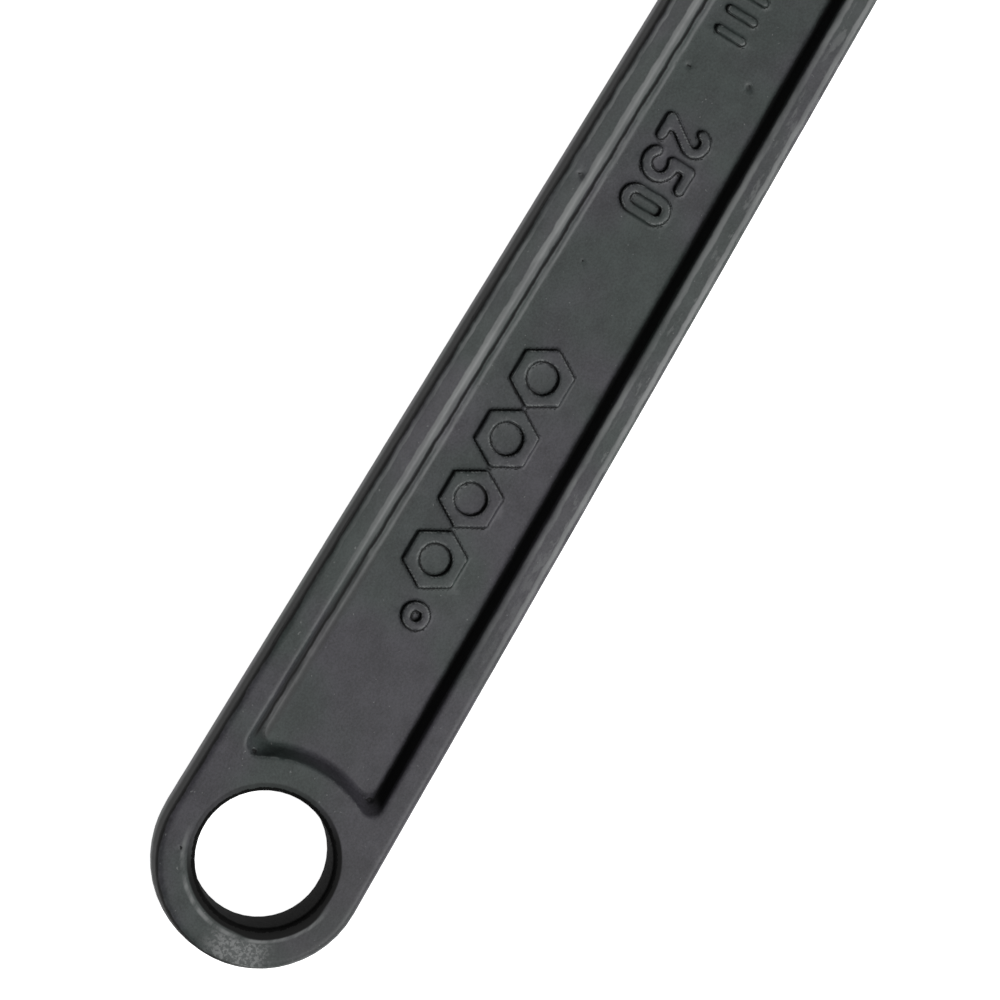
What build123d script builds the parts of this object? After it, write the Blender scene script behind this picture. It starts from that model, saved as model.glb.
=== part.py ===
from build123d import *
import os
from math import atan2, cos, degrees, pi, radians, sin, sqrt, tan

# An adjustable wrench of nominal length 250 mm, in millimetres. The origin is the hanging hole's centre at
# mid-thickness, +X runs along the handle to the head, and +Z is the face that carries the markings.

# Handle
END_RADIUS = 12.6         # round end, at the parting line
END_X = -0.5              # centre of the round end
NARROWING = 0.0150        # half-width lost per mm towards the head
RIM_Z = 4.75              # half-thickness over the rims
WEB_Z = 2.6               # half-thickness of the web between the recesses
FLASH_Z = 0.6             # half-height of the upright band at the parting line
DRAFT = 6                 # degrees, outer faces of the forging
HOLE_RADIUS = 7.9
HOLE_EDGE = 0.9           # rounding of the hole's two rims
EDGE_ROUND = 0.9          # rounding of the handle's and head's outer edges

# Recess on both faces of the handle
FLOOR_MARGIN = 4.85       # from the handle's edge to the recess floor
BOSS_RADIUS = 15.2        # floor's arc around the hanging hole
BOSS_CENTRE = (-2.1, -0.4)
RECESS_START_X = -5        # inside the hanging hole's boss
RECESS_END_X = 149
RECESS_DRAFT = 30
RECESS_END_ROUND = 4
RECESS_CORNER_ROUND = 1.4 # where the arc meets the long walls
RECESS_SPARE = 0.3        # reach of the recess's cutter past the rims
FLOOR_ROUND = 0.7
SHOULDER_ROUND = 0.4      # where the rims turn down into the recess
RECESS_TILTS = (0.4, 0.6) # upward part of the recess walls' normals

# Head: a runs across the jaws, in the direction in which they open, and b runs out of the mouth
JAW_ANGLE = radians(22.5)
MOUTH = (211.0, -3.0)     # a = 0, b = 0: on the floor of the mouth
HEAD_Z = 7.75             # half-thickness of the head
NOSE_Z = 6.5              # half-thickness of the jaws at their tips
NOSE_B = 29.0             # depth of the mouth
NECK_X = 150              # where the handle starts to thicken
HEAD_X = 178              # where it has the head's thickness
NECK_ROUND = 60           # of the slopes between the two thicknesses
FIXED_A = -9.0            # face of the fixed jaw
REST_OPENING = 13.0
FLOOR_END_A = 32.0        # where the slideway leaves the head
MACHINING = 6.0           # metal left in the mouth by the forging
BEYOND = 300              # farther than any part of the wrench

# Slide bar of the movable jaw and its way through the head
BAR_B = -6.6
BAR_RADIUS = 4.6
BAR_AHEAD = 17.0          # reach of the bar past the movable jaw's face
JAW_LENGTH = 15.5         # from the movable jaw's face to its back
JAW_NOSE = 4.5            # length of the movable jaw's tip
NECK_Z = 2.5              # half-thickness of the neck between jaw and bar
SLIDE_GAP = 0.08
FLOOR_GAP = 0.08          # from the jaw to the floor of the mouth
BORE_SPARE = 1.0          # of the bore behind the closed jaw's bar
BAR_CHAMFER = 0.5

# Adjusting knurl, a worm whose axis is parallel to the bar
PITCH = 4.5
WORM_B = -17.8
WORM_RADIUS = 8.5
WORM_ROOT = 6.3
WORM_LENGTH = 17.4
GROOVE_WIDTH = 2.9        # at the worm's crest
FLANK = 0.2               # sideways slope of a thread flank per mm of depth
TOOTH_GAP = 0.2           # from a rack tooth to the worm's flank
ROOT_GAP = 0.2            # from the worm's crest to the rack's roots
WINDOW_A = (-6.0, 12.4)
WINDOW_B = (-27.3, -8.8)
WINDOW_ROUND = 1.2
DRUM_CHAMFER = 0.5
TURNS_BEFORE = 1.5        # turns the groove's cutter runs before and after the drum
THRUST_GAP = 0.1
WORM_START = WINDOW_A[1] - THRUST_GAP - WORM_LENGTH

# Pin and spring
PIN_RADIUS = 2.5
PIN_DEPTH = 7.0           # reach of the pin past the window
PIN_END_A = 32.2          # outer end of the pin, a little inside the head
PIN_GAP = 0.1
PRESS_GAP = 0.01
PIN_CHAMFER = 0.4
DRIVER_SLOT = (1.0, 1.2)  # width and depth of the slot in the pin's outer end
SPRING_WIRE = 0.4
SPRING_RADIUS = 3.3
SPRING_TURNS = 4
POCKET_RADIUS = 4.3
POCKET_DEPTH = 5.0

# Raised markings on the marked face
MARK_HEIGHT = 0.6
MARK_SUNK = 0.2            # of each mark, inside the web
NUT_X = 39.4               # the nut nearest to the hanging hole
NUT_STEP = 8.05
NUTS = 4
NUT_FLATS = 6.6
NUT_HOLE_RADIUS = 1.9
SIZE_X = 91.3
MARK_Y = 0.5
DIGIT_HEIGHT = 6.3
DIGIT_WIDTH = 3.6
DIGIT_STEP = 4.5
STROKE = 1.2
DASH_X = 108.5
DASH_Y = 2.0
DASH_STEP = 2.6
DASHES = 3
DASH_LENGTH = 3.0
DASH_WIDTH = 1.1
RING_PLACE = (32.7, -0.9)
RING_RADII = (1.7, 0.6)

ACROSS = Vector(-sin(JAW_ANGLE), cos(JAW_ANGLE), 0)
OUTWARD = Vector(cos(JAW_ANGLE), sin(JAW_ANGLE), 0)
JAWS = Plane(origin=(*MOUTH, 0), x_dir=ACROSS, z_dir=(0, 0, -1))   # local x is a, local y is b


def at(a, b):
    """The point of the XY plane at a across the jaws and b out of the mouth."""
    point = Vector(*MOUTH) + ACROSS * a + OUTWARD * b
    return (point.X, point.Y)


def along_jaws(a, b):
    """A plane whose normal runs across the jaws, with its local x out of the mouth."""
    return Plane(origin=(*at(a, b), 0), x_dir=OUTWARD, z_dir=ACROSS)


def half_width(x):
    """Half the handle's width at the parting line."""
    return END_RADIUS * sqrt(1 + NARROWING**2) + NARROWING * (END_X - x)


def body_outline():
    """Handle, head and fixed jaw at the parting line, before the mouth is machined."""
    slope = sqrt(1 + NARROWING**2)
    tangent = (END_X + END_RADIUS * NARROWING / slope, END_RADIUS / slope)
    mirrored = (tangent[0], -tangent[1])
    corners = [
        (mirrored, 0),
        ((158, -half_width(158)), 70),
        (at(-24.5, -29), 24),
        (at(-33.5, 2), 26),
        (at(-13.5, NOSE_B), 5),
        (at(FIXED_A + MACHINING, NOSE_B), 3),
        (at(FIXED_A + MACHINING, MACHINING), 3),
        (at(FLOOR_END_A, MACHINING), 2.5),
        (at(34.0, -24), 11),
        ((161, half_width(161)), 50),
        (tangent, 0),
    ]
    points = [point for point, _ in corners]
    radii = [radius for _, radius in corners[1:-1]]
    with BuildLine() as line:
        FilletPolyline(*points, radius=radii)
        ThreePointArc(tangent, (END_X - END_RADIUS, 0), mirrored)
    return make_face(line.line)


def forged(outline, height):
    """A slab over both sides of the parting plane, upright near it and drafted above and below."""
    band = extrude(outline, amount=FLASH_Z, both=True)
    upper = extrude(Pos(0, 0, FLASH_Z) * outline, amount=height - FLASH_Z, taper=DRAFT)
    return band + upper + mirror(upper, Plane.XY)


def thickness_envelope():
    """Side view of the whole body: thin handle, thick head."""
    upper = [
        (END_X - 2 * END_RADIUS, RIM_Z),
        (NECK_X, RIM_Z),
        (HEAD_X, HEAD_Z),
        (MOUTH[0] + 2 * NOSE_B, HEAD_Z),
    ]
    with BuildLine() as line:
        FilletPolyline(*upper, radius=NECK_ROUND)
        Polyline(upper[-1], (upper[-1][0], 0), (upper[0][0], 0), upper[0])
    half = extrude(Plane.XZ * make_face(line.line), amount=BEYOND, both=True)
    return half + mirror(half, Plane.XY)


def nose_envelope():
    """Cross-section of the jaws: they thin towards their tips."""
    taper_b, end_b = 1, NOSE_B + 1
    upper = [(end_b, NOSE_Z), (taper_b, HEAD_Z), (-BEYOND, HEAD_Z)]
    lower = [(-BEYOND, -HEAD_Z), (taper_b, -HEAD_Z), (end_b, -NOSE_Z)]
    section = make_face(Polyline(*upper, *lower, close=True).edges())
    return extrude(along_jaws(0, 0) * section, amount=BEYOND, both=True)


def recess_outline(grow):
    """Outline of the recess at a level where its walls have spread by this much."""
    start_x, end_x = RECESS_START_X, RECESS_END_X + grow
    near = half_width(start_x) - FLOOR_MARGIN + grow
    far = half_width(end_x) - FLOOR_MARGIN + grow
    corners = [(start_x, near), (end_x, far), (end_x, -far), (start_x, -near)]
    outline = make_face(Polyline(*corners, close=True).edges()) - Pos(*BOSS_CENTRE) * Circle(BOSS_RADIUS - grow)
    outline = fillet(outline.vertices().sort_by(Axis.X)[:2], RECESS_CORNER_ROUND)
    return fillet(outline.vertices().sort_by(Axis.X)[-2:], RECESS_END_ROUND)


def recess():
    """The recess of one face: a trough with sloping walls that stops short of the hanging hole's boss."""
    depth = RIM_Z - WEB_Z + RECESS_SPARE
    levels = [(WEB_Z, 0), (WEB_Z + depth, depth * tan(radians(RECESS_DRAFT)))]
    trough = loft([Pos(0, 0, height) * recess_outline(grow) for height, grow in levels], ruled=True)
    return fillet(trough.faces().sort_by(Axis.Z)[0].edges(), FLOOR_ROUND)


def top_edges(solid, tilt_range=(0, 0.3)):
    """Edges between a broad face and a steep one whose normal's Z part is within the range."""
    tilts = {}
    for face in solid.faces():
        for edge in face.edges():
            tilts.setdefault(edge, []).append(abs(face.normal_at(edge @ 0.5).Z))
    low, high = tilt_range
    shared = {edge: pair for edge, pair in tilts.items() if len(pair) == 2}
    return [edge for edge, pair in shared.items() if low <= min(pair) < high and max(pair) > 0.8]


def hexagon_nut():
    """A raised nut outline, the generic mark of the row along the handle."""
    return RegularPolygon(NUT_FLATS / 2, 6, major_radius=False) - Circle(NUT_HOLE_RADIUS)


def bar(start, end, width=STROKE):
    """A straight stroke with round ends."""
    run = Vector(*end) - Vector(*start)
    middle = Vector(*start) + run / 2
    return Pos(middle) * Rot(0, 0, degrees(atan2(run.Y, run.X))) * SlotCenterToCenter(run.length, width)


def bow(centre, radius, start, sweep, width=STROKE):
    """A curved stroke with round ends."""
    return SlotArc(CenterArc(centre, radius, start, sweep), width)


def digit_two():
    """The numeral 2, centred on the origin."""
    half, top = (DIGIT_WIDTH - STROKE) / 2, (DIGIT_HEIGHT - STROKE) / 2
    crown = bow((0, top - half), half, -35, 200)
    bend = (half * cos(radians(-35)), top - half + half * sin(radians(-35)))
    return crown + bar(bend, (-half, -top)) + bar((-half, -top), (half, -top))


def digit_five():
    """The numeral 5, centred on the origin."""
    half, top = (DIGIT_WIDTH - STROKE) / 2, (DIGIT_HEIGHT - STROKE) / 2
    bowl = 1.3 * half
    middle = (half - bowl, bowl - top)
    join = (middle[0] + bowl * cos(radians(125)), middle[1] + bowl * sin(radians(125)))
    upright = bar((-half, top), join)
    return bow(middle, bowl, -140, 265) + upright + bar((half, top), (-half, top))


def digit_zero():
    """The numeral 0, centred on the origin."""
    outer = SlotCenterToCenter(DIGIT_HEIGHT - DIGIT_WIDTH, DIGIT_WIDTH)
    inner = SlotCenterToCenter(DIGIT_HEIGHT - DIGIT_WIDTH, DIGIT_WIDTH - 2 * STROKE)
    return Rot(0, 0, 90) * (outer - inner)


def markings():
    """Raised marks on the web: a ring, a row of nut outlines, the nominal length and a row of dashes."""
    nut_places = [NUT_X + place * NUT_STEP for place in range(NUTS)]
    marks = [Pos(x, MARK_Y) * hexagon_nut() for x in nut_places]
    marks.append(Pos(*RING_PLACE) * (Circle(RING_RADII[0]) - Circle(RING_RADII[1])))
    for place, digit in enumerate((digit_two(), digit_five(), digit_zero())):
        marks.append(Pos(SIZE_X + (1 - place) * DIGIT_STEP, MARK_Y) * Rot(0, 0, 180) * digit)
    dash = Rot(0, 0, 90) * SlotCenterToCenter(DASH_LENGTH, DASH_WIDTH)
    marks += [Pos(DASH_X + place * DASH_STEP, DASH_Y) * dash for place in range(DASHES)]
    base = Pos(0, 0, WEB_Z - MARK_SUNK)
    return [extrude(base * mark, amount=MARK_HEIGHT + MARK_SUNK) for mark in marks]


def across_box(a_range, b_range, half_z):
    """A box whose sides run across the jaws and out of the mouth."""
    outline = Rectangle(a_range[1] - a_range[0], b_range[1] - b_range[0], align=(Align.MIN, Align.MIN))
    return extrude(JAWS * Pos(a_range[0], b_range[0]) * outline, amount=half_z, both=True)


def across_rod(a_range, b, radius):
    """A round rod whose axis runs across the jaws."""
    return extrude(along_jaws(a_range[0], b) * Circle(radius), amount=a_range[1] - a_range[0])


def slideway():
    """Bore for the slide bar with the slot for the jaw's neck, open towards the free side."""
    outside = FLOOR_END_A + 2 * MACHINING
    bore = across_rod((FIXED_A - BAR_AHEAD - BORE_SPARE, outside), BAR_B, BAR_RADIUS + SLIDE_GAP)
    return bore + across_box((FIXED_A, outside), (BAR_B, MACHINING), NECK_Z + SLIDE_GAP)


def build_body():
    """The forging: drafted blank, recesses, hanging hole, mouth, slideway, knurl window and pin hole."""
    blank = forged(body_outline(), HEAD_Z + FLASH_Z) & thickness_envelope() & nose_envelope()
    blank = fillet(top_edges(blank), EDGE_ROUND)
    blank -= recess()
    blank -= mirror(recess(), Plane.XY)
    blank = fillet(top_edges(blank, RECESS_TILTS), SHOULDER_ROUND)
    blank -= Cylinder(HOLE_RADIUS, 4 * RIM_Z)
    circles = blank.edges().filter_by(GeomType.CIRCLE)
    rims = circles.filter_by(lambda edge: abs(edge.radius - HOLE_RADIUS) < 0.01)
    blank = fillet(rims, HOLE_EDGE)
    blank -= across_box((FIXED_A, 3 * NOSE_B), (0, 2 * NOSE_B), 2 * HEAD_Z)
    blank -= slideway()
    window = across_box(WINDOW_A, WINDOW_B, 2 * HEAD_Z)
    blank -= fillet(window.edges().filter_by(Axis.Z), WINDOW_ROUND)
    blank -= across_rod((WINDOW_A[0] - PIN_DEPTH, 3 * NOSE_B), WORM_B, PIN_RADIUS + PRESS_GAP)
    for mark in markings():
        blank += mark
    return blank


def thread_width(b):
    """Width of the worm's thread at a height b over the floor of the mouth."""
    return PITCH - GROOVE_WIDTH + 2 * FLANK * (WORM_B + WORM_RADIUS - b)


def rack_grooves(a_range):
    """Spaces between the rack's teeth, each centred on a turn of the worm's thread and inclined like it."""
    root_b = WORM_B + WORM_RADIUS + ROOT_GAP
    low_b = BAR_B - BAR_RADIUS - 1
    half_root = thread_width(root_b) / 2 + TOOTH_GAP
    half_low = thread_width(low_b) / 2 + TOOTH_GAP
    corners = [(-half_root, root_b), (half_root, root_b), (half_low, low_b), (-half_low, low_b)]
    section = make_face(Polyline(*corners, close=True).edges())
    incline = Vector(0, 0, 1) - ACROSS * (PITCH / (pi * (WORM_RADIUS + WORM_ROOT)))
    first = round((a_range[0] - WORM_START) / PITCH)
    last = round((a_range[1] - WORM_START) / PITCH)
    places = [WORM_START + turn * PITCH for turn in range(first, last + 1)]
    sections = [JAWS * Pos(a, 0) * section for a in places]
    return [extrude(each, amount=2 * BAR_RADIUS, dir=incline, both=True) for each in sections]


def build_movable_jaw():
    """Jaw, neck and slide bar with its rack, in one, at the rest opening."""
    face = FIXED_A + REST_OPENING
    back = face + JAW_LENGTH
    corners = [
        (at(face - MACHINING, -MACHINING), 0),
        (at(face - MACHINING, NOSE_B), 2),
        (at(face + JAW_NOSE, NOSE_B), 5),
        (at(back - 0.5, 9), 9),
        (at(back, -MACHINING), 0),
    ]
    points = [point for point, _ in corners]
    with BuildLine() as line:
        FilletPolyline(*points, radius=[radius for _, radius in corners[1:-1]])
        Line(points[-1], points[0])
    jaw = forged(make_face(line.line), HEAD_Z + FLASH_Z) & nose_envelope()
    jaw = fillet(top_edges(jaw), EDGE_ROUND)
    jaw &= across_box((face, back + 1), (FLOOR_GAP, 2 * NOSE_B), 2 * HEAD_Z)
    bar_range = (face - BAR_AHEAD, back - 0.5)
    slide = across_rod(bar_range, BAR_B, BAR_RADIUS)
    jaw += chamfer(slide.edges().filter_by(GeomType.CIRCLE), BAR_CHAMFER)
    jaw += across_box((face + 0.5, back - 1), (BAR_B, 1), NECK_Z)
    for groove in rack_grooves(bar_range):
        jaw -= groove
    return jaw


def build_adjusting_knurl():
    """The worm: one helical groove in a drum, a bore for the pin and a pocket for the spring."""
    drum = Cylinder(WORM_RADIUS, WORM_LENGTH, align=(Align.CENTER, Align.CENTER, Align.MIN))
    drum = chamfer(drum.edges().filter_by(GeomType.CIRCLE), DRUM_CHAMFER)
    path = Helix(PITCH, WORM_LENGTH + 2 * TURNS_BEFORE * PITCH, WORM_ROOT)
    half_crest = GROOVE_WIDTH / 2
    depth = WORM_RADIUS - WORM_ROOT
    half_root = half_crest - FLANK * depth
    over = 1.0
    half_over = half_crest + FLANK * over
    corners = [(0, -half_root), (depth + over, -half_over), (depth + over, half_over), (0, half_root)]
    section = make_face(Polyline(*corners, close=True).edges())
    start = Plane(origin=path @ 0, x_dir=(1, 0, 0), z_dir=(0, -1, 0))
    groove = sweep(start * section, path=path, is_frenet=True)
    drum -= Pos(0, 0, -TURNS_BEFORE * PITCH) * groove
    drum -= Cylinder(PIN_RADIUS + PIN_GAP, 3 * WORM_LENGTH)
    drum -= Cylinder(POCKET_RADIUS, 2 * POCKET_DEPTH)
    return along_jaws(WORM_START, WORM_B) * drum


def build_knurl_pin():
    """Plain pin with a screwdriver slot in its outer end."""
    slot_width, slot_depth = DRIVER_SLOT
    start = WINDOW_A[0] - PIN_DEPTH + PIN_GAP
    pin = across_rod((start, PIN_END_A), WORM_B, PIN_RADIUS)
    pin = chamfer(pin.edges().filter_by(GeomType.CIRCLE), PIN_CHAMFER)
    whole = (WORM_B - 2 * PIN_RADIUS, WORM_B + 2 * PIN_RADIUS)
    return pin - across_box((PIN_END_A - slot_depth, PIN_END_A + 1), whole, slot_width / 2)


def build_knurl_spring():
    """Coil spring with ground ends, between the window's wall and the knurl's pocket."""
    length = WORM_START + POCKET_DEPTH - WINDOW_A[0] - 0.1
    pitch = (length - SPRING_WIRE) / SPRING_TURNS
    path = Helix(pitch, pitch * SPRING_TURNS, SPRING_RADIUS)
    section = Plane(origin=path @ 0, z_dir=path % 0) * Circle(SPRING_WIRE)
    coil = Pos(0, 0, SPRING_WIRE / 2) * sweep(section, path=path, is_frenet=True)
    coil &= Cylinder(2 * SPRING_RADIUS, length, align=(Align.CENTER, Align.CENTER, Align.MIN))
    return along_jaws(WINDOW_A[0] + 0.05, WORM_B) * coil


def write_parts():
    """Write each piece to its own file."""
    os.makedirs("parts", exist_ok=True)
    pieces = {
        "body": build_body(),
        "movable_jaw": build_movable_jaw(),
        "adjusting_knurl": build_adjusting_knurl(),
        "knurl_pin": build_knurl_pin(),
        "knurl_spring": build_knurl_spring(),
    }
    for name, piece in pieces.items():
        piece.label = name
        export_step(piece, f"parts/{name}.step")


write_parts()
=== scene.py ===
import math

import bpy
import numpy as np
from mathutils import Matrix, Vector


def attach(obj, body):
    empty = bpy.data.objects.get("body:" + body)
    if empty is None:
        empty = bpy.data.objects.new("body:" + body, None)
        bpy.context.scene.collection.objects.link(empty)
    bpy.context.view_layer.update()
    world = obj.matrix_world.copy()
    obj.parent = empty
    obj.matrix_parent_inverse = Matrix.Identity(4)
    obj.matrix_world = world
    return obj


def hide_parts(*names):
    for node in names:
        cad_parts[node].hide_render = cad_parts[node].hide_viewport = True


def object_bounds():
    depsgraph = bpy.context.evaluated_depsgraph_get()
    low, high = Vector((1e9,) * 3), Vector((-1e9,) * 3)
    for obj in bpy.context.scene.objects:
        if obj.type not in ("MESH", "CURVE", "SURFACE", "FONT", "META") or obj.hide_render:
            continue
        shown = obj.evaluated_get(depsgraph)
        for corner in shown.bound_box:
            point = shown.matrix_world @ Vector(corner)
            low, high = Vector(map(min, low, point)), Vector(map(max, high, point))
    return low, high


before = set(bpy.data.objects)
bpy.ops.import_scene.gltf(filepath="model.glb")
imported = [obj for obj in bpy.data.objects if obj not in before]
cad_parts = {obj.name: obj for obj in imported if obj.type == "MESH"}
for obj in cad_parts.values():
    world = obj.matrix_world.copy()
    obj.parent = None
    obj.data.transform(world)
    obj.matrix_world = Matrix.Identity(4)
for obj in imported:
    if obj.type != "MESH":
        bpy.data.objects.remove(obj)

cad_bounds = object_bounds()

# Lengths named here are in millimetres, as in the CAD model, and the meshes are in metres.
MM = 0.001

# The handle
HALF_WIDTH = 12.59            # at the hanging hole, at the parting line
NARROWING = 0.015             # half-width lost along the handle
RIM_Z = 4.75
FLOOR_MARGIN = 4.85           # from the handle's edge to the recess floor
WALL_MARGIN = 3.3             # from the handle's edge to where the rim turns down
RECESS_START_X = 11.0
END_RADIUS = 12.6
END_X = -0.5
RECESS_END_X = 149
HOLE_RADIUS = 7.9

# The head's own directions: a runs across the jaws and b out of the mouth
JAW_ANGLE = math.radians(22.5)
MOUTH = np.array((211.0, -3.0, 0.0))
ACROSS = np.array((-math.sin(JAW_ANGLE), math.cos(JAW_ANGLE), 0.0))
OUTWARD = np.array((math.cos(JAW_ANGLE), math.sin(JAW_ANGLE), 0.0))
FIXED_A = -9.0
BORE_B = -11.5                # bottom of the bore of the slideway
WINDOW_A = (-6.0, 12.4)
WINDOW_B = (-27.3, -8.8)
JAW_FACE_A = 4.0
NECK_Z = 2.5                  # half-thickness of the neck between the jaw and its bar
MACHINED_REACH = 0.3          # around machined faces, where the forging skin ends
RELIEF_REACH = 0.6            # of the undercuts where two machined faces meet
RELIEF_DEPTH = 0.12

# The adjusting knurl
WORM_B = -17.8
WORM_START = -5.1
WORM_LENGTH = 17.4
WORM_RADIUS = 8.5
WORM_ROOT = 6.3
PITCH = 4.5
GROOVE_WIDTH = 2.9
FLANK = 0.2                   # sideways slope of a thread flank
BORE_RADIUS = 2.6
POCKET_RADIUS = 4.3
POCKET_DEPTH = 5.0
DRUM_CHAMFER = 0.5
FLUTES = 48                   # of the knurling on the thread's crest
FLUTE_DEPTH = 0.28

# Die wear along the foot of the recess's +Y wall
GROOVE_EDGE = 4.38            # from the handle's edge
GROOVE_DEPTH = 0.22
RIDGE_EDGE = 4.9
RIDGE_HEIGHT = 0.1

# Small dents: x, y on the marked face, radius and depth
DENTS = (
    (10.1, 7.3, 0.5, 0.2),
    (11.9, -7.1, 0.6, 0.2),
    (13.4, -8.2, 0.4, 0.15),
    (-3.5, 9.0, 0.4, 0.15),
    (85.6, 8.8, 0.6, 0.15),
    (103.0, 4.2, 0.5, 0.15),
    (104.6, -3.1, 0.6, 0.15),
    (77.5, 3.4, 0.4, 0.1),
)
WORN_PATCH = (-10.6, -2.6)    # beside the hanging hole
WORN_PATCH_RADIUS = 5.0

# The camera: a long lens nearly square to the marked face
CAMERA_DISTANCE = 450
CAMERA_TARGET = Vector((49.12, -2.87, 0))
CAMERA_LEAN = Vector((-0.017, 0.147, 1.0))
CAMERA_ROLL = math.radians(30.95)
CAMERA_SCALE = 8.654          # image thousandths per mm at the target

# The floor
FLOOR_REACH = 3.0             # metres from the middle to each side
FLOOR_GLOW = 1.08

VOXEL = 0.22
BODY_FACES = 190_000
JAW_FACES = 120_000
ANGLE_STEPS = FLUTES * 12
AXIAL_STEP = 0.13


def link(obj):
    bpy.context.scene.collection.objects.link(obj)
    return obj


def smooth_step(values, low, high):
    """0 below the low end, 1 above the high end and smooth between them."""
    part = np.clip((values - low) / (high - low), 0, 1)
    return part * part * (3 - 2 * part)


def hill(values, centre, reach):
    """1 at the centre, falling smoothly to 0 at the reach."""
    return smooth_step(-np.abs(values - centre), -reach, 0)


def with_modifiers(obj):
    """Replaces the object's mesh with the result of its modifiers."""
    bpy.context.view_layer.update()
    result = bpy.data.meshes.new_from_object(obj.evaluated_get(bpy.context.evaluated_depsgraph_get()))
    obj.modifiers.clear()
    obj.data = result
    return obj


def forged_copy(node, name):
    """A finely remeshed copy of a CAD node, whose edges are slightly rounded."""
    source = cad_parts[node]
    obj = link(bpy.data.objects.new(name, source.data.copy()))
    remesh = obj.modifiers.new("remesh", "REMESH")
    remesh.mode = "VOXEL"
    remesh.voxel_size = VOXEL * MM
    wrap = obj.modifiers.new("wrap", "SHRINKWRAP")
    wrap.target = source
    wrap.wrap_method = "NEAREST_SURFACEPOINT"
    smooth = obj.modifiers.new("smooth", "SMOOTH")
    smooth.factor = 0.5
    smooth.iterations = 3
    return with_modifiers(obj)


def coordinates(mesh):
    """The mesh's vertices in millimetres."""
    found = np.empty(len(mesh.vertices) * 3, np.float32)
    mesh.vertices.foreach_get("co", found)
    return found.reshape(-1, 3).astype(np.float64) / MM


def normals(mesh):
    found = np.empty(len(mesh.vertices) * 3, np.float32)
    mesh.vertex_normals.foreach_get("vector", found)
    return found.reshape(-1, 3).astype(np.float64)


def move_vertices(mesh, places):
    mesh.vertices.foreach_set("co", (places * MM).astype(np.float32).ravel())
    mesh.update()


def lattice_noise(points, size, seed):
    """Smooth noise between -1 and 1, with features of about the given size."""
    scaled = points / size + seed * 17.31
    cell = np.floor(scaled).astype(np.int64)
    part = scaled - cell
    blend = part * part * (3 - 2 * part)
    total = np.zeros(len(points))
    for corner in np.ndindex(2, 2, 2):
        at = cell + np.array(corner)
        mixed = (at[:, 0] * 73856093) ^ (at[:, 1] * 19349663) ^ (at[:, 2] * 83492791) ^ (seed * 2654435761)
        mixed = (mixed ^ (mixed >> 13)) * 1274126177 & 0xFFFFFFFF
        value = ((mixed ^ (mixed >> 16)) & 0xFFFF) / 32767.5 - 1
        weight = np.prod(np.where(np.array(corner), blend, 1 - blend), axis=1)
        total += value * weight
    return total


def jaw_places(points):
    """Each point's a across the jaws and b out of the mouth."""
    return (points - MOUTH) @ ACROSS, (points - MOUTH) @ OUTWARD


def forging_skin(points, seed):
    """Depth of the uneven skin that a worn die leaves: slow waves and a finer texture."""
    waves = 0.03 * (1 - lattice_noise(points, 7, seed))
    texture = 0.008 * (1 - lattice_noise(points, 1.3, seed + 1))
    return waves + texture


def near(values, ends):
    """Whether each value is between two ends, or just past them."""
    return (values > ends[0] - MACHINED_REACH) & (values < ends[1] + MACHINED_REACH)


def undercut(along, across):
    """Depth of the small relief cut into an inner corner, from the distances to its two faces."""
    return RELIEF_DEPTH * hill(along, 0, RELIEF_REACH) * hill(across, 0, RELIEF_REACH)


def forge_body(mesh):
    """Gives the body its forging skin, die wear and dents, and a relief in the mouth's corner.

    Machined faces otherwise stay true.
    """
    points, out = coordinates(mesh), normals(mesh)
    x, y, z = points.T
    a, b = jaw_places(points)
    mouth = (a > FIXED_A - MACHINED_REACH) & (b > BORE_B)
    window = near(a, WINDOW_A) & near(b, WINDOW_B)
    bore = np.hypot(x, y) < HOLE_RADIUS + MACHINED_REACH
    rough = np.where(mouth | window | bore, 0.0, 1.0)
    moved = points - out * (forging_skin(points, 3) * rough)[:, None]

    after_start = smooth_step(x, RECESS_START_X, RECESS_START_X + 4)
    along = after_start * (1 - smooth_step(x, RECESS_END_X - 4, RECESS_END_X))
    low = np.abs(z) < RIM_Z - 0.6
    edge = HALF_WIDTH - NARROWING * x - y
    wander = 0.06 * lattice_noise(points * (1, 0, 0), 3.5, 11)
    groove = GROOVE_DEPTH * hill(edge + wander, GROOVE_EDGE, 0.34)
    ridge = RIDGE_HEIGHT * smooth_step(x, 25, 50) * hill(edge + wander, RIDGE_EDGE, 0.45)
    moved[:, 2] += np.sign(z) * along * low * (ridge - groove)

    wall = smooth_step(-np.abs(np.abs(out[:, 2]) - 0.5), -0.3, -0.1) * low * along
    moved -= out * (0.07 * wall * (1 - lattice_noise(points, 2.6, 23)))[:, None]
    for place_x, place_y, radius, depth in DENTS:
        away = np.hypot(x - place_x, y - place_y) + 0.5 * radius * lattice_noise(points, 0.5, 31)
        moved[:, 2] -= np.where(z > 0, depth * smooth_step(-away, -radius, 0), 0)
    moved -= (ACROSS + OUTWARD) * undercut(a - FIXED_A, b)[:, None]
    move_vertices(mesh, moved)


def forge_jaw(mesh):
    """Gives the movable jaw's outside its forging skin and cuts a relief where the neck meets the jaw.

    The face, the bar and the rack stay true.
    """
    points, out = coordinates(mesh), normals(mesh)
    a, b = jaw_places(points)
    rough = smooth_step(a, JAW_FACE_A + 0.4, JAW_FACE_A + 0.9) * smooth_step(b, 0.3, 0.8)
    moved = points - out * (forging_skin(points, 41) * rough)[:, None]

    z = points[:, 2]
    relief = undercut(b, np.abs(z) - NECK_Z)
    moved += OUTWARD * relief[:, None]
    moved[:, 2] -= np.sign(z) * relief
    move_vertices(mesh, moved)


def decimated(obj, faces):
    triangles = len(obj.data.polygons) * 2
    if triangles > faces:
        reduce = obj.modifiers.new("reduce", "DECIMATE")
        reduce.ratio = faces / triangles
        with_modifiers(obj)
    return obj


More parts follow.
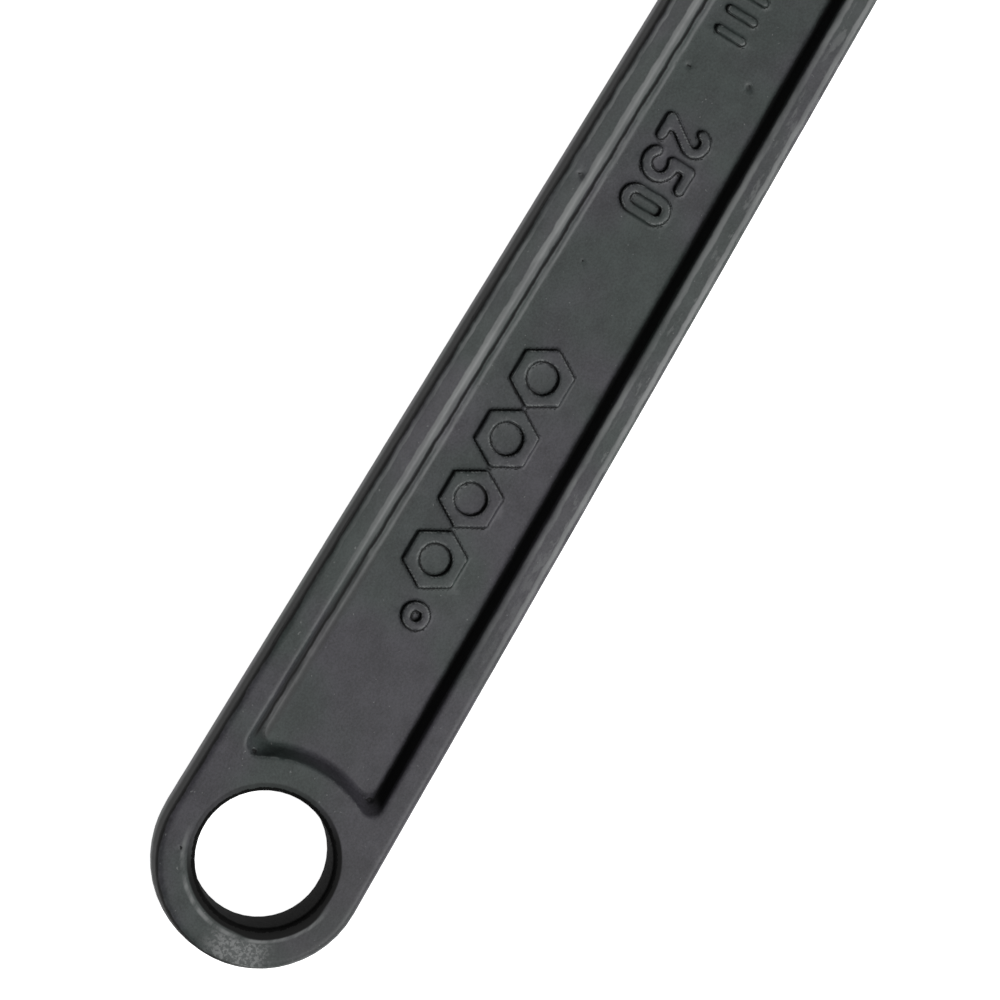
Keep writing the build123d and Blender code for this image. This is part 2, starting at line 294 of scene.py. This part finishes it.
def mark_bends(mesh):
    """Stores how sharply the surface bends at each vertex, per mm: outwards above 0 and inwards below."""
    points, out = coordinates(mesh), normals(mesh)
    ends = np.empty(len(mesh.edges) * 2, np.int32)
    mesh.edges.foreach_get("vertices", ends)
    first, second = ends.reshape(-1, 2).T
    span = points[second] - points[first]
    squared = np.maximum((span**2).sum(axis=1), 1e-9)
    at_first = -2 * (span * out[first]).sum(axis=1) / squared
    at_second = 2 * (span * out[second]).sum(axis=1) / squared
    count = len(points)
    total = np.bincount(first, at_first, count) + np.bincount(second, at_second, count)
    edges = np.bincount(first, minlength=count) + np.bincount(second, minlength=count)
    bends = mesh.attributes.new("bend", "FLOAT", "POINT")
    bends.data.foreach_set("value", (total / np.maximum(edges, 1)).astype(np.float32))


def finished(obj, body, node, material):
    """Shades a piece, gives it its material and makes it stand for its CAD node."""
    obj.data.polygons.foreach_set("use_smooth", [True] * len(obj.data.polygons))
    mark_bends(obj.data)
    set_material(obj, material)
    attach(obj, body)
    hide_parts(node)
    return obj


def face_centres(mesh):
    found = np.empty(len(mesh.polygons) * 3, np.float32)
    mesh.polygons.foreach_get("center", found)
    return found.reshape(-1, 3) / MM


def build_body(material, bore_shade_material):
    body = forged_copy("body", "forged_body")
    forge_body(body.data)
    finished(decimated(body, BODY_FACES), "frame", "body", material)
    # The hanging hole's wall gets the painted-shade material
    body.data.materials.append(bore_shade_material)
    x, y, _ = face_centres(body.data).T
    in_bore = np.hypot(x, y) < HOLE_RADIUS + 0.45
    body.data.polygons.foreach_set("material_index", in_bore.astype(np.int32))
    return body


def build_jaw(material):
    jaw = forged_copy("movable_jaw", "forged_jaw")
    forge_jaw(jaw.data)
    return finished(decimated(jaw, JAW_FACES), "jaw", "movable_jaw", material)


def worm_radius(angle, height):
    """Radius of the fluted and threaded drum at an angle round its axis and a height over its lower end."""
    off_centre = np.abs((height - PITCH * angle / (2 * math.pi)) % PITCH - PITCH / 2)
    flank = WORM_RADIUS - (GROOVE_WIDTH / 2 - off_centre) / FLANK
    in_groove = np.clip(flank, WORM_ROOT, WORM_RADIUS)
    flute = FLUTE_DEPTH * np.abs(2 * ((angle * FLUTES / (2 * math.pi)) % 1) - 1)
    ends = np.minimum(height, WORM_LENGTH - height)
    chamfered = WORM_RADIUS - np.clip(DRUM_CHAMFER - ends, 0, DRUM_CHAMFER)
    return np.minimum(np.minimum(in_groove, WORM_RADIUS - flute), chamfered)


def build_knurl(material):
    """The adjusting knurl as a closed grid: columns run up the outside, over the end and down the bore."""
    angles = np.linspace(0, 2 * math.pi, ANGLE_STEPS, endpoint=False)
    heights = np.linspace(0, WORM_LENGTH, round(WORM_LENGTH / AXIAL_STEP) + 1)
    around, up = np.meshgrid(angles, heights, indexing="ij")
    outside = np.stack((worm_radius(around, up), up), axis=2)
    inside = [
        (5.0, WORM_LENGTH),
        (BORE_RADIUS + 0.3, WORM_LENGTH),
        (BORE_RADIUS, WORM_LENGTH - 0.3),
        (BORE_RADIUS, POCKET_DEPTH),
        (POCKET_RADIUS, POCKET_DEPTH),
        (POCKET_RADIUS, 0.2),
        (POCKET_RADIUS + 0.2, 0),
    ]
    inside = np.broadcast_to(np.array(inside), (len(angles), len(inside), 2))
    profile = np.concatenate((outside, inside), axis=1)
    radius, height = profile[..., 0], profile[..., 1]
    turn = angles[:, None]
    points = (
        MOUTH
        + OUTWARD * (WORM_B + radius * np.cos(turn))[..., None]
        + ACROSS * (WORM_START + height)[..., None]
        - np.array((0, 0, 1)) * (radius * np.sin(turn))[..., None]
    )
    columns, rows = radius.shape
    index = np.arange(columns * rows).reshape(columns, rows)
    beside, above = np.roll(index, -1, axis=0), np.roll(index, -1, axis=1)
    faces = np.stack((index, beside, np.roll(beside, -1, axis=1), above), axis=2).reshape(-1, 4)
    mesh = bpy.data.meshes.new("knurl")
    mesh.from_pydata((points.reshape(-1, 3) * MM).tolist(), [], faces.tolist())
    mesh.update()
    knurl = link(bpy.data.objects.new("fluted_knurl", mesh))
    return finished(knurl, "knurl", "adjusting_knurl", material)


class Finish:
    """A material being put together. Its methods take and give node outputs or plain numbers."""

    def __init__(self, name):
        self.material = bpy.data.materials.new(name)
        self.material.use_nodes = True
        self.tree = self.material.node_tree
        self.shader = self.tree.nodes["Principled BSDF"]
        place = self.tree.nodes.new("ShaderNodeTexCoord").outputs["Object"]
        self.place = self.node("ShaderNodeVectorMath", place, operation="SCALE", Scale=1 / MM)
        separate = self.tree.nodes.new("ShaderNodeSeparateXYZ")
        self.feed(self.place, separate.inputs[0])
        self.x, self.y, self.z = separate.outputs

    def node(self, kind, *inputs, operation=None, **named):
        made = self.tree.nodes.new(kind)
        if operation:
            made.operation = operation
        for value, socket in zip(inputs, made.inputs):
            self.feed(value, socket)
        for name, value in named.items():
            self.feed(value, made.inputs[name])
        return made.outputs[0]

    def feed(self, value, socket):
        if isinstance(value, bpy.types.NodeSocket):
            self.tree.links.new(value, socket)
        else:
            socket.default_value = value

    def maths(self, operation, *values):
        return self.node("ShaderNodeMath", *values, operation=operation)

    def add(self, first, second):
        return self.maths("ADD", first, second)

    def times(self, *values):
        total = values[0]
        for value in values[1:]:
            total = self.maths("MULTIPLY", total, value)
        return total

    def distance(self, centre_x, centre_y):
        """How far the place is from an upright line."""
        from_x = self.maths("POWER", self.add(self.x, -centre_x), 2.0)
        from_y = self.maths("POWER", self.add(self.y, -centre_y), 2.0)
        return self.maths("SQRT", self.add(from_x, from_y))

    def step(self, value, low, high):
        """0 below low, 1 above high, or the other way round when high is less than low."""
        made = self.tree.nodes.new("ShaderNodeMapRange")
        made.interpolation_type = "SMOOTHSTEP"
        ends = (0, 1) if low < high else (1, 0)
        names = ("Value", "From Min", "From Max", "To Min", "To Max")
        for name, setting in zip(names, (value, min(low, high), max(low, high), *ends)):
            self.feed(setting, made.inputs[name])
        return made.outputs[0]

    def band(self, value, low, high, soft):
        """1 between low and high."""
        past_low = self.step(value, low - soft, low + soft)
        return self.times(past_low, self.step(value, high + soft, high - soft))

    def noise(self, size, detail=3.0, stretch=(1, 1, 1)):
        """Noise from 0 to 1 with features of about the given size in mm."""
        scaled = self.node("ShaderNodeVectorMath", self.place, tuple(1 / (size * part) for part in stretch),
                           operation="MULTIPLY")
        return self.node("ShaderNodeTexNoise", Vector=scaled, Scale=1.0, Detail=detail, Roughness=0.6)

    def color(self, factor, first, second, blend="MIX"):
        """Colours mixed: the first where the factor is 0, and the second blended over it where it is 1."""
        made = self.tree.nodes.new("ShaderNodeMix")
        made.data_type = "RGBA"
        made.blend_type = blend
        colors = [socket for socket in made.inputs if socket.type == "RGBA"]
        self.feed(factor, made.inputs["Factor"])
        for value, socket in zip((first, second), colors):
            self.feed((*value, 1) if isinstance(value, tuple) else value, socket)
        return next(socket for socket in made.outputs if socket.type == "RGBA")

    def mixed(self, factor, first, second):
        """Plain numbers mixed: the first where the factor is 0 and the second where it is 1."""
        made = self.tree.nodes.new("ShaderNodeMix")
        for name, value in (("Factor", factor), ("A", first), ("B", second)):
            self.feed(value, made.inputs[name])
        return made.outputs["Result"]

    def bends(self):
        made = self.tree.nodes.new("ShaderNodeAttribute")
        made.attribute_name = "bend"
        return made.outputs["Fac"]

    def any_of(self, *masks):
        total = masks[0]
        for mask in masks[1:]:
            total = self.maths("MAXIMUM", total, mask)
        return total

    def bump(self, height, depth):
        """A surface relief: the height from 0 to 1 times the depth in mm."""
        made = self.tree.nodes.new("ShaderNodeBump")
        made.inputs["Strength"].default_value = 1.0
        made.inputs["Distance"].default_value = depth * MM
        self.feed(height, made.inputs["Height"])
        return made.outputs[0]

    def done(self, color, roughness, relief):
        self.feed(color, self.shader.inputs["Base Color"])
        self.feed(roughness, self.shader.inputs["Roughness"])
        self.feed(relief, self.shader.inputs["Normal"])
        return self.material


def phosphate(finish):
    """Mottled black phosphate: greenish and purplish patches with a fine grain."""
    hue = finish.step(finish.noise(16, 2.0), 0.38, 0.62)
    patches = finish.color(hue, (0.038, 0.049, 0.046), (0.049, 0.047, 0.056))
    cloud = finish.noise(3.5, 4.0)
    speckle = finish.noise(0.28, 2.0)
    light = finish.add(finish.times(cloud, 0.5), finish.times(speckle, 0.5))
    dull = finish.color(finish.step(light, 0.3, 0.7), (0.64, 0.64, 0.64), (1.34, 1.34, 1.34))
    return finish.color(1.0, patches, dull, blend="MULTIPLY")


def grain(finish, depth):
    """The fine and the coarser grain of phosphated steel."""
    relief = finish.add(finish.times(finish.noise(0.35, 3.0), 0.5), finish.times(finish.noise(1.6), 0.5))
    return finish.bump(relief, depth)


class BodyFinish(Finish):
    """The body's finish, with the places on the handle that its wear, painted highlights and painted shade
    follow.
    """

    def __init__(self):
        super().__init__("black_phosphate")
        x, y = self.x, self.y
        taper = self.add(self.times(x, -NARROWING), HALF_WIDTH)
        wander = self.times(self.add(self.noise(2.5), -0.5), 0.5)
        straight = self.maths("SUBTRACT", taper, y)
        rounded = self.maths("SUBTRACT", END_RADIUS, self.distance(END_X, 0))
        self.left_edge = self.add(self.mixed(self.step(x, END_X + 1, END_X - 1), straight, rounded), wander)
        self.right_edge = self.add(self.add(taper, y), wander)
        self.height = self.maths("ABSOLUTE", self.z)
        self.radius = self.distance(0, 0)
        self.patchy = self.step(self.noise(4, 5.0, stretch=(2, 0.6, 1)), 0.35, 0.62)
        self.above = self.step(self.height, 2.9, 3.3)
        self.grown = self.times(self.step(x, 22, 55), self.step(x, 165, 150))
        self.in_recess = self.times(self.step(x, RECESS_START_X, RECESS_START_X + 1.5),
                                    self.step(x, RECESS_END_X, RECESS_END_X - 2),
                                    self.step(self.height, 4.4, 4.0))

    def uneven(self, low, high):
        """A strength that wanders between two values in long patches."""
        return self.mixed(self.patchy, low, high)

    def edge_wear_and_highlights(self):
        """Bright lines and scuffs along the handle's two rims: wear, and painted highlights on the wall down
        from the left rim, on the right rim's shoulder and on the die-wear ridge.
        """
        left, right = self.left_edge, self.right_edge
        # Wear and a painted highlight on the wall down from the left rim
        wall = self.times(self.band(left, WALL_MARGIN - 0.4, GROOVE_EDGE - 0.3, 0.12), self.uneven(0.6, 1.0))
        rim = self.times(self.band(left, 0.9, 1.3, 0.1), self.uneven(0.2, 0.75))
        edge = self.times(self.band(right, 0.8, 1.4, 0.12), self.uneven(0.55, 1.0))
        # Painted light on the right rim's shoulder, where it turns down into the recess
        shoulder = self.times(self.band(right, WALL_MARGIN - 0.4, WALL_MARGIN + 0.35, 0.15),
                              self.uneven(0.3, 0.8))
        scuffs = self.times(self.band(right, 0.5, 2.6, 0.4), 0.45,
                            self.step(self.noise(1.1, 4.0, stretch=(2.5, 1, 1)), 0.5, 0.62))
        rub = self.times(self.step(self.height, RIM_Z - 0.4, RIM_Z - 0.15), self.uneven(0.04, 0.12))
        # Painted highlight beside the die-wear ridge
        ridge = self.times(self.band(left, RIDGE_EDGE + 0.05, RIDGE_EDGE + 0.4, 0.15), 0.35)
        upper = self.times(self.any_of(wall, rim, edge, shoulder, scuffs, rub), self.above)
        return self.times(self.any_of(upper, ridge), self.grown)

    def lightened(self):
        """Where the colour is lighter: rubbed black on the rims, the corners, beside the hole and in
        scattered specks, and painted highlights on the rims' walls and the ridge.
        """
        specks = self.step(self.noise(0.7, 3.0), 0.4, 0.58)
        corners = self.times(self.step(self.bends(), 0.4, 2.0), specks,
                             self.mixed(self.step(self.x, 150, 170), 0.7, 1.0))
        patch = self.times(self.step(self.distance(*WORN_PATCH), WORN_PATCH_RADIUS, 1.5),
                           self.mixed(self.step(self.noise(0.4, 2.0), 0.44, 0.6), 0.3, 1.0),
                           self.step(self.radius, 9.2, 10), self.above)
        ring = self.times(self.band(self.radius, 9.15, 9.6, 0.15), self.step(self.x, 0, -5), self.above,
                          self.uneven(0.0, 0.9))
        dust = self.times(self.step(self.noise(0.5, 1.0), 0.74, 0.8), 0.6)
        return self.any_of(self.edge_wear_and_highlights(), corners, patch, ring, dust)

    def dark(self):
        """Painted shade: at the foot of the walls, in inner corners, at the hole's edge and on the sides, and
        painted shade with dirt in the die-wear groove.
        """
        left, right = self.left_edge, self.right_edge
        # Painted shade and dirt in the die-wear groove
        groove = self.times(self.band(left, GROOVE_EDGE - 0.12, GROOVE_EDGE + 0.2, 0.1), self.in_recess, 0.95)
        # Painted shade on the wall down from the right rim
        foot = self.times(self.band(right, WALL_MARGIN + 0.45, FLOOR_MARGIN + 0.1, 0.1), self.in_recess, 0.9)
        # Painted shade in inner corners
        corners = self.times(self.step(self.bends(), -0.3, -1.6), 0.95)
        # Painted shade round the hole's edge, darkest on its -X -Y side
        diagonal = self.add(self.x, self.y)
        widened = self.add(self.radius, self.times(self.step(diagonal, -9.5, -12.5), -0.35))
        hole_edge = self.times(self.step(widened, HOLE_RADIUS + 1.1, HOLE_RADIUS + 0.85),
                               self.mixed(self.step(diagonal, 7, -1), 0.45, 1.0))
        # Painted shade on the handle's two sides
        before_neck = self.step(self.x, 145, 115)
        left_side = self.times(self.band(left, -0.5, 0.75, 0.1), before_neck, self.step(self.y, -9, 0),
                               self.mixed(self.step(self.height, 0.7, 2.2), 0.2, 0.97))
        right_side = self.times(self.band(right, -0.5, 0.5, 0.1), before_neck, self.step(self.x, 22, 55),
                                self.mixed(self.step(self.height, 0.7, 2.8), 0.1, 0.6))
        return self.any_of(groove, foot, corners, hole_edge, left_side, right_side)

    def painted_end_shade(self):
        """Painted shade: a little darker along the wall near the round end, and on the end itself."""
        wall = self.times(self.band(self.left_edge, WALL_MARGIN - 0.4, RIDGE_EDGE + 0.9, 0.3), self.in_recess,
                          self.step(self.x, 55, 25))
        end = self.times(self.step(self.x, 8, 2), self.step(self.y, 4, -2), 0.5)
        return self.times(self.any_of(wall, end), 0.6)


def body_finish():
    finish = BodyFinish()
    dark = finish.dark()
    # Painted shade along the wall near the round end and on the end
    color = finish.color(finish.painted_end_shade(), phosphate(finish), (0.02, 0.02, 0.02))
    # Wear, and painted highlights on the rims' walls and the die-wear ridge
    color = finish.color(finish.lightened(), color, (0.205, 0.213, 0.212))
    # Painted shade on the walls, in inner corners, round the hole and on the sides, with dirt in the groove
    color = finish.color(dark, color, (0.005, 0.005, 0.005))
    roughness = finish.mixed(dark, finish.mixed(finish.noise(1.2), 0.5, 0.62), 0.95)
    return finish.done(color, roughness, grain(finish, 0.022))


def bore_shade_finish():
    """Painted shade inside the hanging hole: near-black, rough and with little specular reflection."""
    finish = Finish("bore_painted_shade")
    finish.shader.inputs["Specular IOR Level"].default_value = 0.05
    color = finish.color(finish.noise(1.5), (0.004, 0.004, 0.004), (0.012, 0.012, 0.012))
    return finish.done(color, 0.9, finish.bump(finish.noise(0.5, 3.0), 0.03))


def jaw_finish():
    finish = Finish("jaw_phosphate")
    specks = finish.step(finish.noise(0.7, 3.0), 0.38, 0.58)
    # Lighter where the outer edges are worn
    lightened = finish.times(finish.step(finish.bends(), 0.35, 1.9), specks, 0.95)
    color = finish.color(lightened, phosphate(finish), (0.16, 0.165, 0.167))
    # Painted shade in inner corners
    painted_crevice_shade = finish.times(finish.step(finish.bends(), -0.5, -2.5), 0.85)
    color = finish.color(painted_crevice_shade, color, (0.006, 0.006, 0.006))
    roughness = finish.mixed(finish.noise(1.2), 0.42, 0.58)
    return finish.done(color, roughness, grain(finish, 0.025))


def turned_finish(name, dark, bright, roughness):
    """Turned steel with fine lathe marks, bright where it bends outwards and with painted shade where it
    bends inwards.
    """
    finish = Finish(name)
    lines = finish.noise(0.12, 1.0, stretch=(12, 1, 12))
    stain = finish.noise(2.2, 4.0)
    # Lighter where the outer edges are worn
    lightened = finish.times(finish.step(finish.bends(), 0.8, 2.3), finish.mixed(finish.noise(0.8), 0.5, 1.0))
    mottled = finish.color(stain, tuple(0.75 * part for part in dark), tuple(1.2 * part for part in dark))
    painted_inward_shade = finish.times(finish.step(finish.bends(), -0.4, -2.0), 0.8)
    color = finish.color(lightened, mottled, bright)
    color = finish.color(painted_inward_shade, color, (0.008, 0.008, 0.008))
    finish.shader.inputs["Metallic"].default_value = 0.85
    uneven = finish.mixed(stain, roughness - 0.07, roughness + 0.1)
    return finish.done(color, uneven, finish.bump(finish.add(finish.times(lines, 0.4), stain), 0.012))


def floor_finish():
    finish = Finish("floor_white")
    white = (0.9, 0.9, 0.9, 1)
    finish.shader.inputs["Emission Color"].default_value = white
    finish.shader.inputs["Emission Strength"].default_value = FLOOR_GLOW
    return finish.done(white, 0.9, finish.bump(finish.noise(5), 0.001))


def set_material(obj, material):
    obj.data.materials.clear()
    obj.data.materials.append(material)


def build_stage():
    """A white floor, bright enough that it stays white in the wrench's soft shadow."""
    floor_z = cad_bounds[0][2]
    mesh = bpy.data.meshes.new("floor")
    signs = ((-1, -1), (1, -1), (1, 1), (-1, 1))
    corners = [(FLOOR_REACH * across, FLOOR_REACH * along, floor_z) for across, along in signs]
    mesh.from_pydata(corners, [], [(0, 1, 2, 3)])
    floor = link(bpy.data.objects.new("floor", mesh))
    set_material(floor, floor_finish())


def area_light(name, direction, distance, size, power):
    """A square light at a distance in metres in the direction given from the middle of the handle."""
    target = Vector((0.07, 0, 0))
    data = bpy.data.lights.new(name, "AREA")
    data.shape = "SQUARE"
    data.size = size
    data.energy = power
    light = link(bpy.data.objects.new(name, data))
    light.location = target + Vector(direction).normalized() * distance
    light.rotation_euler = (target - light.location).to_track_quat("-Z", "Y").to_euler()
    return light


def build_lights():
    world = bpy.data.worlds.new("studio")
    world.use_nodes = True
    world.node_tree.nodes["Background"].inputs["Color"].default_value = (1, 1, 1, 1)
    world.node_tree.nodes["Background"].inputs["Strength"].default_value = 0.07
    bpy.context.scene.world = world
    area_light("key", (-0.1, -0.56, 0.82), 2.0, 0.4, 32.5)


def build_camera():
    data = bpy.data.cameras.new("camera")
    data.sensor_width = 36
    data.lens = 36 * CAMERA_SCALE * CAMERA_DISTANCE / 1000
    data.clip_start = 0.01
    camera = link(bpy.data.objects.new("camera", data))
    back = CAMERA_LEAN.normalized()
    up = Vector((math.cos(CAMERA_ROLL), math.sin(CAMERA_ROLL), 0))
    right = up.cross(back).normalized()
    up = back.cross(right)
    turn = Matrix((right, up, back)).transposed().to_4x4()
    camera.matrix_world = Matrix.Translation((CAMERA_TARGET + back * CAMERA_DISTANCE) * MM) @ turn
    bpy.context.scene.camera = camera


build_body(body_finish(), bore_shade_finish())
build_jaw(jaw_finish())
build_knurl(turned_finish("knurl_black", (0.06, 0.062, 0.064), (0.34, 0.35, 0.36), 0.38))
pin_finish = turned_finish("pin_oiled", (0.22, 0.22, 0.22), (0.3, 0.3, 0.3), 0.3)
set_material(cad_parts["knurl_pin"], pin_finish)
spring_finish = turned_finish("spring_wire", (0.2, 0.19, 0.17), (0.3, 0.29, 0.27), 0.3)
set_material(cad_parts["knurl_spring"], spring_finish)
build_stage()
build_lights()
build_camera()
bpy.context.scene.view_settings.view_transform = "Standard"
